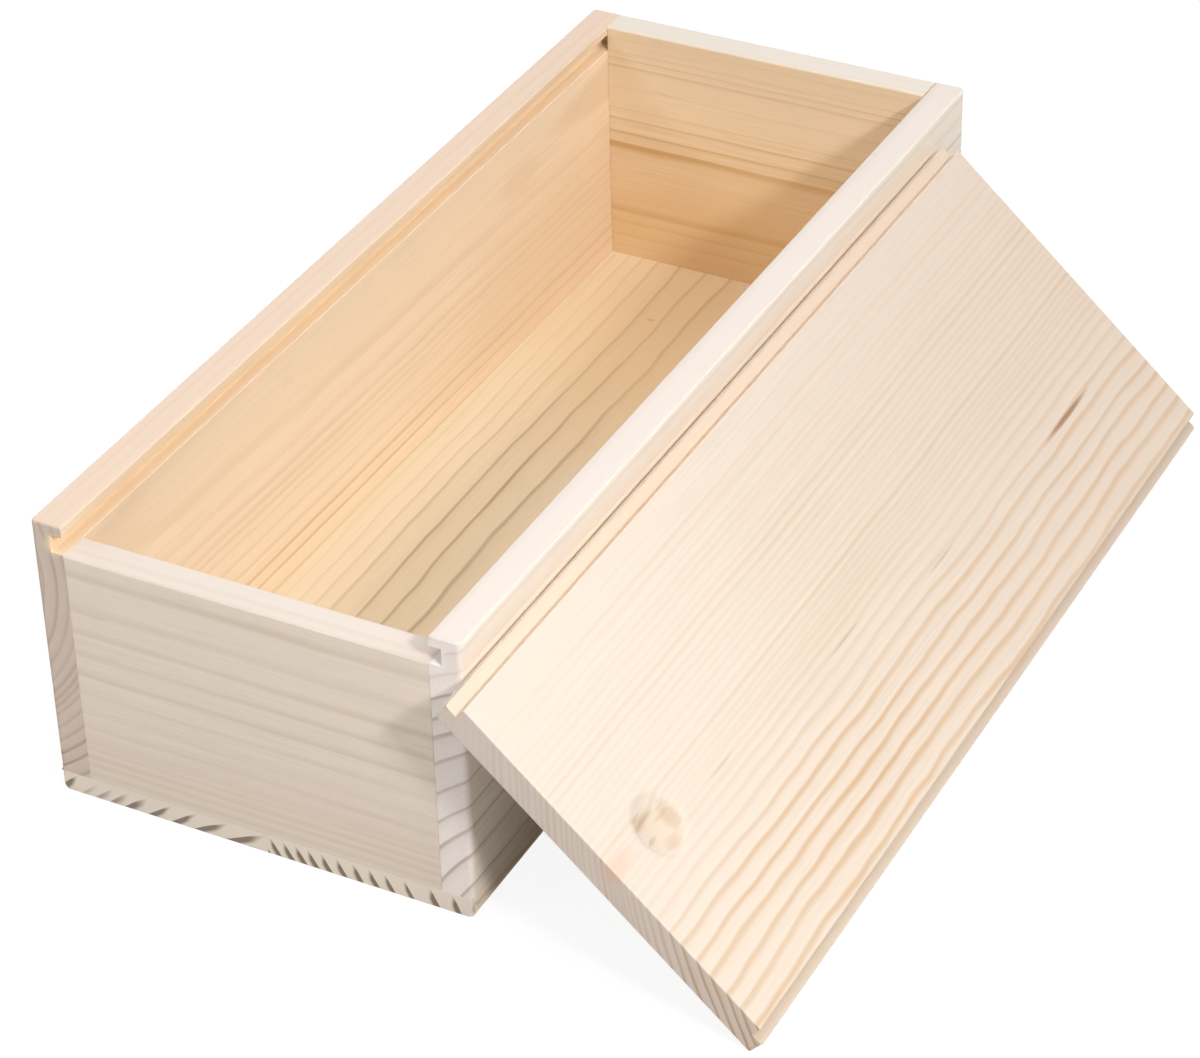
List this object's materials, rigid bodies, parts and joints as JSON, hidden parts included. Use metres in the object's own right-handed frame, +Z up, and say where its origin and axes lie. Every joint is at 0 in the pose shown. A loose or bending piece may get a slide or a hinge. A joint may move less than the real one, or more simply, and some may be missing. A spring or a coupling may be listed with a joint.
{
  "type": "sliding lid wooden box",
  "caption": "Long narrow box of thin pine boards for papers and keepsakes, with a thumb-scooped lid that slides in grooves; the lid is off and leans on the right side.",
  "frame": {"origin": "middle of the underside of the box, the lid that leans beside it left out", "axes": "+Z up; +Y along the box towards the high rear board; +X right, towards the side that the lid leans on"},
  "size_m": [0.2037, 0.3139, 0.083],
  "materials": {
    "pine": "bare sanded softwood"
  },
  "bodies": {
    "box": {"base_board_left": "pine", "base_board_right": "pine", "left_side_board": "pine", "right_side_board": "pine", "front_board": "pine", "rear_board": "pine"},
    "lid": {"sliding_lid": "pine"}
  },
  "joints": [
    {"name": "lid_slide", "type": "slide", "parent": "box", "child": "lid", "axis": [0, -1, 0], "range_m": [-0.16, 0.1307]}
  ]
}
